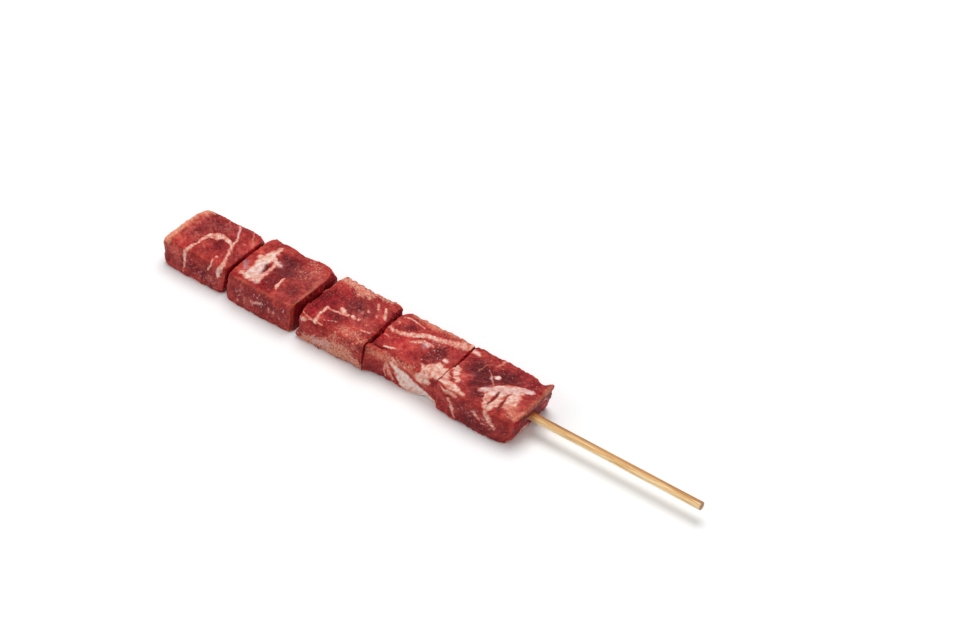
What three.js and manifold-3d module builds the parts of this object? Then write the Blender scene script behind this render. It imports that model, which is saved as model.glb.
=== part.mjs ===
// A raw beef kebab: five thick chunks of beef threaded on a round bamboo skewer, lying on its side.
//
// Millimetres, +Z up, the underside of the meat on the plane z = 0. The skewer runs along X: its
// pointed end is at -X and just shows past the first chunk, its blunt handle end is at +X.
// The long sides of the meat face -Y (near side) and +Y (far side).

import * as THREE from 'three';
import { mergeVertices } from 'three/addons/utils/BufferGeometryUtils.js';
import Module from 'manifold-3d';

const wasm = await Module();
wasm.setup();

// ---- Driving dimensions ------------------------------------------------------------------------

const SKEWER_LENGTH = 300;
const STICK_DIAMETER = 4.2;
const STICK_SIDES = 24;
const POINT_LENGTH = 14; // the sharpened stretch at the pointed end
const POINT_DIAMETER = 0.6; // the point itself is slightly blunt
const HANDLE_CHAMFER = 0.3; // worn edge of the blunt end
const AXIS_HEIGHT = 8.6; // height of the stick's axis above the underside of the meat
const HOLE_CLEARANCE = 0.35; // between the stick and the hole it makes in each chunk

const EQUATOR = 0.47; // height of a chunk's widest level, as a share of its height
const PLAN_STEPS = 44; // points round a chunk's outline
const EDGE_STEPS = 15; // steps over a chunk's profile, from its underside round to its top
const TOP_SQUARENESS = 7; // 2 would be a dome, and a large number a flat top with a sharp edge
const BOTTOM_SQUARENESS = 11;
const SAG = 1.06; // the underside bulges this much too deep, and then lies flat on the ground

// Each chunk is a cut block. from and to are where it starts and ends along the stick, counted from
// the stick's point, and near and far are how far it reaches to each side of the stick's axis.
//   cuts    what is missing at each corner of the block in plan, [along X, along Y]
//   slant   how much further towards +X each end lies at the far side than at the near side
//   lean    how much further towards +X each end lies at the top than at the underside
//   splay   how far the near side's foot stands out past its top edge
//   swell   height and phases of the soft waves in the top and the sides
const CHUNKS = [
  {
    name: 'chunk_1', from: 4.2, to: 42.2, near: 15.0, far: 14.2, height: 17.0,
    cuts: { nearLeft: [2.5, 2.5], farLeft: [6, 5], farRight: [4, 3], nearRight: [2.5, 2.5] },
    slant: { left: 2.6, right: 2.6 }, lean: { left: -0.6, right: 2.4 }, splay: 1.6,
    swell: { rise: 0.45, phase: [0.4, 1.9], side: 0.3 },
  },
  {
    name: 'chunk_2', from: 43.5, to: 83.4, near: 16.2, far: 16.2, height: 17.4,
    cuts: { nearLeft: [2.5, 2.5], farLeft: [2.5, 2], farRight: [3, 4], nearRight: [3, 3] },
    slant: { left: 1.6, right: 2.4 }, lean: { left: 2.4, right: 0.6 }, splay: 1.4,
    swell: { rise: 0.5, phase: [2.2, 0.3], side: 0.3 },
  },
  {
    name: 'chunk_3', from: 85.8, to: 123.2, near: 16.6, far: 16.2, height: 16.8,
    cuts: { nearLeft: [3.5, 3.5], farLeft: [3, 3], farRight: [2.5, 4], nearRight: [2, 2.5] },
    slant: { left: 1.0, right: 0.4 }, lean: { left: 1.2, right: 1.2 }, splay: 1.2,
    swell: { rise: 0.45, phase: [4.0, 2.6], side: 0.35 },
  },
  {
    name: 'chunk_4', from: 124.0, to: 164.4, near: 14.4, far: 15.4, height: 17.3,
    cuts: { nearLeft: [2.5, 2.5], farLeft: [3.5, 3], farRight: [2.5, 3], nearRight: [2.5, 2.5] },
    slant: { left: 0.4, right: 0.6 }, lean: { left: 1.2, right: 1.0 }, splay: 0.4,
    swell: { rise: 0.45, phase: [5.3, 4.4], side: 0.3 },
  },
  {
    name: 'chunk_5', from: 165.2, to: 207.4, near: 15.6, far: 16.2, height: 17.0,
    cuts: { nearLeft: [2.5, 2.5], farLeft: [2, 1.5], farRight: [4, 2.5], nearRight: [5, 6] },
    slant: { left: 0.6, right: 0.4 }, lean: { left: 1.0, right: 4.6 }, splay: 1.2,
    swell: { rise: 0.5, phase: [1.1, 5.6], side: 0.3 },
  },
];

const BEEF_COLOURS = { chunk_1: 0xa8352c, chunk_2: 0xa32f2a, chunk_3: 0xab3d31, chunk_4: 0x9d2f28, chunk_5: 0xa5382d };
const BAMBOO_COLOUR = 0xdcae72;

const stickStart = -SKEWER_LENGTH / 2;

// ---- Helpers -----------------------------------------------------------------------------------

const mix = (a, b, t) => a + (b - a) * t;

// A closed geometry as a manifold solid.
function solidOf(geometry) {
  const bare = geometry.clone();
  bare.deleteAttribute('normal');
  bare.deleteAttribute('uv');
  const merged = mergeVertices(bare, 1e-5);
  return new wasm.Manifold(new wasm.Mesh({
    numProp: 3,
    vertProperties: Float32Array.from(merged.attributes.position.array),
    triVerts: Uint32Array.from(merged.index.array),
  }));
}

// A manifold solid as a geometry with flat faces.
function geometryOf(solid) {
  const mesh = solid.getMesh();
  const geometry = new THREE.BufferGeometry();
  geometry.setAttribute('position', new THREE.BufferAttribute(Float32Array.from(mesh.vertProperties), 3));
  geometry.setIndex(new THREE.BufferAttribute(Uint32Array.from(mesh.triVerts), 1));
  geometry.computeVertexNormals();
  return geometry;
}

// ---- Stick -------------------------------------------------------------------------------------

// The stick's profile turned about its axis, which is laid along X with the point at -X.
function stickGeometry() {
  const radius = STICK_DIAMETER / 2;
  const profile = [
    [0, 0],
    [POINT_DIAMETER / 2, 0],
    [mix(POINT_DIAMETER / 2, radius, 0.62), POINT_LENGTH * 0.5],
    [radius, POINT_LENGTH],
    [radius, SKEWER_LENGTH - HANDLE_CHAMFER],
    [radius - HANDLE_CHAMFER, SKEWER_LENGTH],
    [0, SKEWER_LENGTH],
  ].map(([r, along]) => new THREE.Vector2(r, along));
  const geometry = new THREE.LatheGeometry(profile, STICK_SIDES);
  geometry.rotateZ(-Math.PI / 2);
  geometry.translate(stickStart, 0, AXIS_HEIGHT);
  return geometryOf(solidOf(geometry));
}

// What the stick takes out of each chunk: a round rod a little wider than the stick.
function holeSolid() {
  const radius = (STICK_DIAMETER / 2 + HOLE_CLEARANCE) / Math.cos(Math.PI / STICK_SIDES);
  const rod = new THREE.CylinderGeometry(radius, radius, SKEWER_LENGTH * 1.1, STICK_SIDES);
  rod.rotateZ(-Math.PI / 2);
  rod.translate(0, 0, AXIS_HEIGHT);
  return solidOf(rod);
}

// ---- Chunks ------------------------------------------------------------------------------------

// The outline of a chunk in plan, counter-clockwise: a block with slanting ends and rounded corners.
function planOutline({ from, to, near, far, cuts, slant }) {
  const endAt = (end, lean, y) => stickStart + end + lean * ((y + near) / (near + far) - 0.5);
  const nearLeft = [endAt(from, slant.left, -near), -near];
  const nearRight = [endAt(to, slant.right, -near), -near];
  const farRight = [endAt(to, slant.right, far), far];
  const farLeft = [endAt(from, slant.left, far), far];
  const outline = new THREE.Path();
  outline.moveTo(nearLeft[0] + cuts.nearLeft[0], -near);
  outline.lineTo(nearRight[0] - cuts.nearRight[0], -near);
  outline.quadraticCurveTo(...nearRight, nearRight[0], -near + cuts.nearRight[1]);
  outline.lineTo(farRight[0], far - cuts.farRight[1]);
  outline.quadraticCurveTo(...farRight, farRight[0] - cuts.farRight[0], far);
  outline.lineTo(farLeft[0] + cuts.farLeft[0], far);
  outline.quadraticCurveTo(...farLeft, farLeft[0], far - cuts.farLeft[1]);
  outline.lineTo(nearLeft[0], -near + cuts.nearLeft[1]);
  outline.quadraticCurveTo(...nearLeft, nearLeft[0] + cuts.nearLeft[0], -near);
  return outline.getSpacedPoints(PLAN_STEPS).slice(0, PLAN_STEPS);
}

// The rings of a chunk's profile, from the middle of the underside to the middle of the top: how
// wide each is, from 0 to 1, and how high, from -1 to 1. Both halves are superellipses.
function profileRings() {
  const flatRing = (width, side, squareness) => ({
    width,
    rise: side * (1 - width ** squareness) ** (1 / squareness),
  });
  const rings = [flatRing(0, -1, BOTTOM_SQUARENESS), flatRing(0.42, -1, BOTTOM_SQUARENESS)];
  for (let step = 1; step < EDGE_STEPS; step++) {
    const angle = mix(-Math.PI / 2, Math.PI / 2, step / EDGE_STEPS);
    const power = 2 / (angle < 0 ? BOTTOM_SQUARENESS : TOP_SQUARENESS);
    rings.push({
      width: Math.cos(angle) ** power,
      rise: Math.sign(angle) * Math.abs(Math.sin(angle)) ** power,
    });
  }
  const cap = [0.45, 0.22, 0].map((width) => flatRing(width, 1, TOP_SQUARENESS));
  return [...rings, ...cap];
}

// A point of the chunk's skin: the outline drawn in to the ring's width, raised to its level, then
// leaned, splayed and swollen.
function skinPoint(chunk, middle, rim, { width, rise }) {
  const { height, lean, splay, swell } = chunk;
  const waist = height * EQUATOR;
  let x = mix(middle.x, rim.x, width);
  let y = mix(middle.y, rim.y, width);
  let z = rise < 0 ? waist * (1 + SAG * rise) : mix(waist, height, rise);

  const level = THREE.MathUtils.clamp(z / height, 0, 1);
  const along = THREE.MathUtils.clamp((x - stickStart - chunk.from) / (chunk.to - chunk.from), 0, 1);
  const [phaseX, phaseY] = swell.phase;
  const topWave = Math.sin(x / 7.5 + phaseX) * Math.cos(y / 6.5 + phaseY);
  const sideWave = Math.sin(x / 6 + y / 5 + phaseY) + Math.sin(z / 4 + phaseX);
  z += swell.rise * topWave * level * level;
  x += mix(lean.left, lean.right, along) * (level - 0.5);
  y -= splay * (1 - level) * Math.max(0, -rim.y / chunk.near) * width;
  y += swell.side * sideWave * Math.sign(rim.y) * width * 0.5;
  return [x, y, Math.max(z, 0)];
}

// The chunk's closed skin: a point at the middle of the underside, rings of points, and a point at
// the middle of the top.
function chunkSkin(chunk) {
  const outline = planOutline(chunk);
  const middle = outline.reduce((sum, p) => sum.add(p), new THREE.Vector2()).divideScalar(PLAN_STEPS);
  const rings = profileRings();
  const top = rings.length - 1;
  const positions = [...skinPoint(chunk, middle, middle, rings[0])];
  for (const ring of rings.slice(1, top)) {
    for (const rim of outline) positions.push(...skinPoint(chunk, middle, rim, ring));
  }
  positions.push(...skinPoint(chunk, middle, middle, rings[top]));

  const vertex = (ring, step) => 1 + (ring - 1) * PLAN_STEPS + (step % PLAN_STEPS);
  const last = positions.length / 3 - 1;
  const faces = [];
  for (let step = 0; step < PLAN_STEPS; step++) {
    faces.push(0, vertex(1, step + 1), vertex(1, step));
    for (let ring = 1; ring < top - 1; ring++) {
      const a = vertex(ring, step);
      const b = vertex(ring, step + 1);
      const c = vertex(ring + 1, step + 1);
      const d = vertex(ring + 1, step);
      faces.push(a, b, c, a, c, d);
    }
    faces.push(last, vertex(top - 1, step), vertex(top - 1, step + 1));
  }
  const geometry = new THREE.BufferGeometry();
  geometry.setAttribute('position', new THREE.Float32BufferAttribute(positions, 3));
  geometry.setIndex(faces);
  return geometry;
}

// ---- The kebab ---------------------------------------------------------------------------------

const kebab = new THREE.Group();

const stick = new THREE.Mesh(
  stickGeometry(),
  new THREE.MeshStandardMaterial({ color: BAMBOO_COLOUR, roughness: 0.6, metalness: 0 }),
);
stick.name = 'stick';
kebab.add(stick);

const hole = holeSolid();
for (const chunk of CHUNKS) {
  const mesh = new THREE.Mesh(
    geometryOf(solidOf(chunkSkin(chunk)).subtract(hole)),
    new THREE.MeshStandardMaterial({ color: BEEF_COLOURS[chunk.name], roughness: 0.4, metalness: 0 }),
  );
  mesh.name = chunk.name;
  kebab.add(mesh);
}

// The origin is on the ground, under the middle of the whole kebab.
const box = new THREE.Box3().setFromObject(kebab, true);
kebab.position.set(-(box.min.x + box.max.x) / 2, -(box.min.y + box.max.y) / 2, -box.min.z);

export default kebab;
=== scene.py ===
"""Looks of the raw beef kebab: five marbled chunks of beef on a round bamboo skewer.

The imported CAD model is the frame. Each chunk's solid is copied, remeshed finely and shaped with
fibres, seams and ragged edges. Its fat, silverskin and tones are stored on its points, where the
material reads them. All lengths below are in millimetres unless a comment says otherwise.
"""

import math

import bpy
import numpy as np
from mathutils import Matrix, Vector


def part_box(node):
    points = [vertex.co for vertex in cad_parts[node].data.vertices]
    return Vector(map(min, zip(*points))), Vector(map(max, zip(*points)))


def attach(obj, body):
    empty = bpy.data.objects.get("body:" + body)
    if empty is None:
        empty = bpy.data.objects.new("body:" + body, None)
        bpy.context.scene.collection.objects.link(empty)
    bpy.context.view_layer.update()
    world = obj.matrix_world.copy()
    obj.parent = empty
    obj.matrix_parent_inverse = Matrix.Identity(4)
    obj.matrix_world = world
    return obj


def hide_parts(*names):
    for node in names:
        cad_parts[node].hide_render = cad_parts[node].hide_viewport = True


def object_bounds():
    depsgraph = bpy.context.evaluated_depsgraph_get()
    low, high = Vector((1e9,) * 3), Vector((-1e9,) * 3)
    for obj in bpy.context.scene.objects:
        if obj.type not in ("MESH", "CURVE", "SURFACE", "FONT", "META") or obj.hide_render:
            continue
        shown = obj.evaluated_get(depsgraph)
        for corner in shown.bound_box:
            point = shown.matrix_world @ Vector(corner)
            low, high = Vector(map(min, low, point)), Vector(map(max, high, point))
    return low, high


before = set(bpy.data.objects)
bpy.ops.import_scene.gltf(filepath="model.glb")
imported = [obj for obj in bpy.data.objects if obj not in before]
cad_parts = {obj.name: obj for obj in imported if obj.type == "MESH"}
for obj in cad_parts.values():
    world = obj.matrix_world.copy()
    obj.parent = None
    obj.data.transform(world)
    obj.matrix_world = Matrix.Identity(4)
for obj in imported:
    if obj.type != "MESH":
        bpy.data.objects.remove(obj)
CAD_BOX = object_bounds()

M_PER_MM = 0.001

# ---- Camera and stage --------------------------------------------------------------------------

CAMERA_AZIMUTH = math.radians(36.45)
CAMERA_ELEVATION = math.radians(45.0)
CAMERA_DISTANCE = 1.771  # metres
CAMERA_LENS = 142.5
CAMERA_SENSOR = 36.0
CAMERA_REACH = 20.0  # metres
AIM_FROM_MIDDLE = (-0.0030, 0.0429)  # metres: what the view is centred on, from the kebab's middle

FLOOR_SIZE = 6.0  # metres
FLOOR_TONE = 0.93
FLOOR_ROUGHNESS = 0.9
STUDIO_BRIGHTNESS = 0.50

# Each lamp is (name, azimuth, elevation, distance, size, power): degrees, metres and watts.
LAMPS = [
    ("overhead", 200, 72, 1.6, 1.1, 17),
    ("side", -40, 38, 1.8, 1.2, 5),
]


def srgb(red, green, blue):
    """A colour given from 0 to 255, as the linear values that the nodes take."""
    values = np.array([red, green, blue]) / 255
    linear = np.where(values <= 0.04045, values / 12.92, ((values + 0.055) / 1.055) ** 2.4)
    return (*linear.tolist(), 1.0)


def direction(azimuth, elevation):
    """The unit vector from the object towards a viewer or a lamp; azimuth 0 is on the -Y side."""
    return Vector((
        math.sin(azimuth) * math.cos(elevation),
        -math.cos(azimuth) * math.cos(elevation),
        math.sin(elevation),
    ))


def add_object(name, data):
    """A new object in the scene."""
    thing = bpy.data.objects.new(name, data)
    bpy.context.scene.collection.objects.link(thing)
    return thing


def add_camera():
    """The scene's camera, which looks down on the near side and the handle end."""
    low, high = CAD_BOX
    middle = (low + high) / 2
    aim = Vector((middle.x + AIM_FROM_MIDDLE[0], middle.y + AIM_FROM_MIDDLE[1], low.z))
    towards = direction(CAMERA_AZIMUTH, CAMERA_ELEVATION)
    data = bpy.data.cameras.new("camera")
    data.lens = CAMERA_LENS
    data.sensor_width = CAMERA_SENSOR
    data.clip_end = CAMERA_REACH
    camera = add_object("camera", data)
    camera.location = aim + towards * CAMERA_DISTANCE
    camera.rotation_euler = towards.to_track_quat("Z", "Y").to_euler()
    bpy.context.scene.camera = camera


def add_lamp(name, azimuth, elevation, distance, size, power):
    data = bpy.data.lights.new(name, "AREA")
    data.shape = "DISK"
    data.size = size
    data.energy = power
    lamp = add_object(name, data)
    towards = direction(math.radians(azimuth), math.radians(elevation))
    lamp.location = towards * distance
    lamp.rotation_euler = towards.to_track_quat("Z", "Y").to_euler()


def add_floor():
    half = FLOOR_SIZE / 2
    mesh = bpy.data.meshes.new("floor")
    corners = [(-half, -half, 0), (half, -half, 0), (half, half, 0), (-half, half, 0)]
    mesh.from_pydata(corners, [], [(0, 1, 2, 3)])
    floor = add_object("floor", mesh)
    floor.location.z = CAD_BOX[0].z
    material = bpy.data.materials.new("floor")
    material.use_nodes = True
    shader = material.node_tree.nodes["Principled BSDF"]
    shader.inputs["Base Color"].default_value = (FLOOR_TONE, FLOOR_TONE, FLOOR_TONE, 1)
    shader.inputs["Roughness"].default_value = FLOOR_ROUGHNESS
    mesh.materials.append(material)


def add_studio_light():
    world = bpy.data.worlds.new("studio")
    world.use_nodes = True
    background = world.node_tree.nodes["Background"]
    background.inputs["Color"].default_value = (1, 1, 1, 1)
    background.inputs["Strength"].default_value = STUDIO_BRIGHTNESS
    bpy.context.scene.world = world
    bpy.context.scene.view_settings.view_transform = "Standard"
    for lamp in LAMPS:
        add_lamp(*lamp)


# ---- Noise -------------------------------------------------------------------------------------

TABLE = 4096
table_maker = np.random.default_rng(11)
SHUFFLE = table_maker.permutation(TABLE)
ARROWS = table_maker.normal(size=(TABLE, 3))
ARROWS /= np.linalg.norm(ARROWS, axis=1)[:, None]
SEED_STEP = np.array([17.31, 9.17, 5.73])
NOISE_GAIN = 1.7  # brings gradient noise to about -1 to 1


def noise(points, wavelength, seed=0):
    """Smooth gradient noise, about -1 to 1, with features about one wavelength across."""
    scaled = points / wavelength + seed * SEED_STEP
    cell = np.floor(scaled).astype(int)
    inside = scaled - cell
    fade = inside**3 * (inside * (inside * 6 - 15) + 10)
    total = np.zeros(len(points))
    for corner in np.ndindex(2, 2, 2):
        x, y, z = (cell + corner).T
        key = SHUFFLE[(SHUFFLE[(SHUFFLE[x % TABLE] + y) % TABLE] + z) % TABLE]
        weight = np.prod(np.where(corner, fade, 1 - fade), axis=1)
        total += weight * np.einsum("ij,ij->i", ARROWS[key], inside - corner)
    return total * NOISE_GAIN


def fractal(points, wavelength, seed=0, octaves=3):
    """Noise with finer and fainter noise on top of it."""
    layers = [noise(points, wavelength / 2**n, seed + 7 * n) / 2**n for n in range(octaves)]
    return sum(layers)


def layered(points, layers, seed=0):
    """The sum of several noises, each given as (height, wavelength, seed)."""
    return sum(height * noise(points, wavelength, seed + own) for height, wavelength, own in layers)


def smooth(low, high, value):
    """0 at low, 1 at high, and a smooth change between; low may be the larger of the two."""
    t = np.clip((value - low) / (high - low), 0, 1)
    return t * t * (3 - 2 * t)


# ---- Marks on a chunk --------------------------------------------------------------------------
#
# Places on a chunk are given by x and s. x is counted along the skewer from the middle of the
# chunk's box. s is counted across it: over the top it is y, past the near top edge it goes on down
# the near side, and past the far top edge down the far side.
#
# A mark is (amount, chain). Its chain of discs (x, s, radius) is joined into a band: a seam, a
# streak or, with one disc, a spot. A patch is a soft round spot (x, s, radius, amount).
#
#   grain    the direction of the muscle fibres, as (x, y, z)
#   fray     how far the borders of the marks are drawn out along the fibres
#   fat      marks of fat; an amount over 1 makes it whiter
#   veil     marks of silvery skin over the fat or the lean meat
#   groove_shade  marks of grooves and pits, sunk into the surface and darkened with painted shade
#   hollow   marks of dark grooves and pits
#   rim  marks of painted highlight: a salmon-coloured band along edges that catch the light and glow
#       through
#   pale     marks of dry tan surface
#   tones    patches of lighter meat, or of darker meat where the amount is negative
#   crimson  patches of purer red meat
#   brown    patches of duller, browner meat
#   pushes   (x, s, radius, (dx, dy, dz)): moves of the skin, fading out over the radius
#   presses  (side, from y, to y, amount, fill, corner): see the function press
#   ragged   how uneven the edges are
#   crisp    how far the edges stand out
#   glow     how far painted glow turns the edges orange, where light would shine through them

CHUNK_1 = dict(
    grain=(0.60, -0.50, 0.62),
    fray=1.0,
    fat=[
        (.88, [(-7, -30.5, .3), (-6, -23.5, .45), (-6.5, -20, .9), (-5.6, -17.2, 1), (-5, -13.5, .9),
               (-3.5, -9, .5), (-3, -5.5, .6), (-2.2, -2.5, 1.1), (-.5, 0, 1.9), (1.8, 1, 2.2),
               (3.6, 2, 1.5), (6.3, 1.5, .9), (8.6, 1.2, .8), (10.2, .2, .75), (11.7, -2, .65),
               (13, -5, .65), (13.5, -8, .5), (14.4, -11, .5), (14.9, -13.5, 1), (14.4, -17.5, 1.4),
               (13.8, -20.8, 1.1), (13.2, -23, .5)]),
        (.85, [(4, 16, .4), (6, 12, .5), (8, 9, .5), (9.5, 6, .5), (10.5, 3, .55), (11.2, -2, .5)]),
        (.95, [(9.5, -10.5, .75)]), (.8, [(9.4, -12.5, .35), (9, -17, .5), (8, -21, .45)]),
        (.5, [(-1.5, 15, .4), (-.3, 12.5, .4)]),
        (.5, [(13.5, 14, .3), (14.5, 11, .4), (17, 8, .5), (18.2, 6.5, .5)]),
        (.5, [(-8.5, -3, .25), (-5.5, -4.8, .35)]), (.45, [(-11.5, -8, .25), (-9.5, -10, .3)]),
        (.45, [(-1.5, -6, .2), (1.5, -9, .25)]), (.6, [(15.5, 4, .4)]), (.5, [(-.5, -24.5, .35)]),
        (.5, [(5.5, -29, .5)]), (.4, [(3.5, -27.5, .3)]),
    ],
    veil=[(.7, [(6, 12, .5), (9.5, 6, .5)]), (.7, [(-6.5, -20, .9)]), (.8, [(14, -19, 1.2)])],
    frost=[(.5, [(-2, -22, 4), (8, -26, 4)])],
    groove_shade=[],
    rim=[(1.1, [(-19.5, -15, 3), (-19, -5, 3), (-18.5, 4, 3), (-17, 10, 3), (-11, 15, 1.4)])],
    tones=[
        (5, -4, 5, -.6), (1.5, -24, 7, -.2), (-12, -12, 6, .35), (11, -12, 4, .3), (17, 5, 5, .35),
        (-14, 9, 5, .3), (-14, -2, 3, .35), (-12, -22, 5, .25), (16, -24, 4, .2),
    ],
    crimson=[(5, -4, 5, .45), (-8, -13, 6, .6), (11, -12, 4, .6), (18, 4, 5, .5), (-13, 10, 4, .3)],
    pushes=[
        (-19, 13, 3.5, (1.5, -1.0, 0)), (-20, -6, 9, (.7, 0, 0)), (-18, -26, 8, (.5, .5, 0)),
        (19, 15, 3, (-1.2, 0, 0)),
    ],
    brown=[
        (-6, 6, 8, .95), (2, 8, 6, .85), (-9, -3, 6, .8), (11, 2, 4, .5), (-8, -26, 8, .8), (8, -26, 8, .8),
        (5, -4, 4, .4),
    ],
    pale=[],
    ragged=0.45,
    presses=[],
    crisp=0.2,
    glow=0.3,
)
CHUNK_2 = dict(
    grain=(0.30, 0.45, 0.84),
    fray=1.1,
    fat=[
        (1.2, [(-8.6, 13, .35), (-9, 9.8, 1), (-9.4, 6.5, 1.8), (-9.8, 3, 2.6), (-10.2, -.5, 2.8),
               (-10, -4, 2.4), (-9.5, -7.5, 2.6), (-9.5, -10.5, 3.1)]),
        (1.1, [(-13.3, 1.5, 1.2), (-11, 0, 1.6)]), (1.1, [(-7, 3.8, 1.3), (-4, 2.6, 1.1), (-1.8, 2.2, .6)]),
        (1.0, [(-4.6, 1, .8), (-4, -3, .7), (-4.5, -6.5, 1), (-5.5, -10, 1.7), (-4.3, -12.6, .8)]),
        (.9, [(-8, -12, 2), (-12, -11.5, 1.8), (-15, -12.2, .8)]),
        (1.0, [(4.5, -3, .2), (4.7, -6, .5), (5, -9, .85), (6, -11, .5)]), (.6, [(15.5, 9.5, .6)]),
        (.5, [(8, 4.8, .5)]), (.5, [(12, 6, .35), (12.5, 3, .35)]), (.6, [(-4, -27, .8)]),
        (.6, [(-3, -26.5, .9), (-1, -25.5, .8), (.5, -24.3, .5)]),
        (.55, [(5.3, -27.8, .5), (5.8, -24.5, .5)]), (.5, [(8.4, -26.5, .5), (8.8, -24.6, .4)]),
        (.5, [(-13, -30.3, .8)]), (.5, [(-9, -26.5, .6)]),
    ],
    veil=[
        (.6, [(-3, -26.6, .6), (1, -25, .5)]), (.6, [(5.5, -26, .4)]), (.6, [(8.5, -26, .4)]),
        (.6, [(-13, -30.3, .5)]), (.7, [(-5, 3, 1.2), (-1.8, 2.2, .7)]),
        (.8, [(-8.6, -3, 1), (-7.5, -6.5, 1.5)]), (.5, [(-11, -9, 1.5)]), (1.0, [(-4.6, -13, .7)]),
        (.6, [(-18.5, -4, .8), (-14.5, -8, 1.2)]),
    ],
    frost=[(1.0, [(-11, -26, 2), (-3, -24.5, 3), (4, -22, 2.5), (10, -24, 3)])],
    groove_shade=[(1.0, [(-7.2, -.8, .7), (-6.6, -2.6, 1), (-6.2, -4.8, .7)])],
    rim=[(.15, [(-16, -16.4, .5), (0, -16.8, .5), (17, -16, .6)]), (.3, [(18.5, -12, .6), (18.5, 8, .5)])],
    tones=[
        (0, 8, 6, -.4), (2, 1, 6, -.35), (0, -8, 6, -.45), (12, -8, 6, -.1), (13, 7, 7, .3),
        (-17, 6, 6, .4), (0, -24, 12, -.1), (-15, -10, 5, .3), (-15, -22, 4, .25), (14, -20, 4, .1),
    ],
    crimson=[(-17, 6, 6, .3), (0, -8, 5, .35), (-2, -15, 8, .5), (14, -15, 5, .4), (-17, -10, 5, .4)],
    pushes=[
        (3, 18, 7, (0, -1.2, 0)), (-17, 17, 3, (.3, .9, .3)), (20, 15, 4, (-1.3, -.6, 0)),
        (-19, -30, 5, (0, .6, 0)), (8, -17, 6, (0, -.3, 0)),
    ],
    brown=[
        (-1, 7, 6, 1), (1, 0, 5, .9), (6, 2, 7, .8), (13, 5, 6, .7), (12, -8, 6, .7), (0, -8, 4, .5),
        (-10, -26, 8, .75), (2, -26, 8, .8), (13, -26, 7, .7),
    ],
    pale=[(.45, [(9, 13, 1.5), (15, 10, 2)]), (.35, [(6, 6, 1), (13, 3, 1.5)])],
    ragged=0.45,
    presses=[],
    crisp=0.55,
    glow=0.45,
)
CHUNK_3 = dict(
    grain=(0.40, -0.50, 0.77),
    fray=0.8,
    fat=[
        (.6, [(-9, 14.5, .8), (-3, 13, 1.1), (1.5, 12, 1)]), (.6, [(-2, 9.3, 1)]), (.7, [(-17, 16.5, 1)]),
        (.7, [(9, 9.5, .6), (11, 7, .7)]), (.9, [(13.5, 9.5, .6), (15.5, 7, .8), (16.4, 4.5, .6)]),
        (.45, [(-3, 3, .6)]), (1.25, [(-3, -2.2, .7), (-1.6, -3, 1), (-.2, -3.8, .7)]),
        (1.25, [(4.3, -3.6, .8), (5.9, -4.5, .6)]), (1.25, [(8, -3.6, .65)]),
        (.8, [(8, 4, .4), (8.4, 2.6, .6)]), (.5, [(13, 3, .7)]), (.6, [(12.8, -4.5, .5)]),
        (.9, [(-9, -5.7, .65), (-6.5, -6.3, .45), (-3.5, -5.6, .35), (-.5, -5, .4), (2, -4.2, .6)]),
        (.9, [(-8.8, -6, .75), (-8.8, -9, .55), (-8.8, -12, .5), (-8.5, -14.8, .8), (-8.5, -17, 1.2)]),
        (.8, [(-12, -17, .5), (-5, -16.8, .5)]),
        (.75, [(-17.5, -19.5, 1.1), (-14.5, -18.8, 1.2), (-12.5, -17.6, .6)]),
        (.65, [(-8.6, -16.3, .6), (-12.5, -16.4, .45), (-17, -14.8, .4)]),
        (.7, [(12.5, -8.5, .6), (16.5, -7.5, .6)]),
        (.5, [(-5.5, -13.5, .25), (-1.5, -11.5, .35), (.5, -10.5, .45)]), (.5, [(17, -6, .5)]),
    ],
    veil=[(.5, [(-8, -29.5, 2), (-2, -28, 2)])],
    frost=[(.2, [(-2, 0, 5), (8, -2, 5)])],
    groove_shade=[],
    rim=[(.5, [(-18, 4, .8), (-17, 14, 1)])],
    tones=[
        (-12, -2, 8, -.65), (3, 3, 7, -.4), (-2, -10, 5, -.55), (10, -12, 6, .4), (-15, 13, 5, .35),
        (15, 2, 4, .15), (6.6, 1, 1.6, .8), (-8, -20, 5, .1), (4, -20, 6, .3), (-15, -19, 3, .3),
    ],
    crimson=[
        (-12, -2, 8, .95), (-2, -10, 5, .95), (-6, 8, 5, .6), (-8, -22, 6, .5), (15, 3, 5, .6),
        (-13, -12, 5, .9),
    ],
    pushes=[
        (-17.5, 17, 2.5, (.8, -1.6, 0)), (-19, -33, 5, (-1.6, -.5, .2)), (12, -34, 4, (0, .8, .6)),
        (19, 14, 4, (-1.2, -.5, 0)),
    ],
    brown=[(2, 4, 6, .9), (8, -1, 5, .8), (10, 5, 4, .5)],
    pale=[
        (.9, [(-15, 15.5, 1.8), (-7.5, 14.5, 2.8), (-1.5, 12.8, 3.2), (3, 12.5, 2.6)]),
        (.75, [(2, 16, 2.2), (12, 16, 2)]), (.5, [(4, -13, 1.5), (12, -13, 2.5), (17, -14, 2)]),
        (.6, [(3.5, -18, 1.2), (3, -22, 1.8), (2, -25, 2.5)]), (.3, [(8, -20, 3), (14, -20, 3)]),
        (.85, [(-14, -31.5, 2.5), (-8, -30.5, 3.2), (-2, -28.5, 4.2), (3, -27.5, 5), (9, -28, 5),
               (14, -30.5, 3), (17, -32, 2)]),
    ],
    ragged=1.45,
    presses=[(1, -20, -12, 1.2, .9, .2)],
    crisp=0.1,
    glow=0.35,
)
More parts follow.
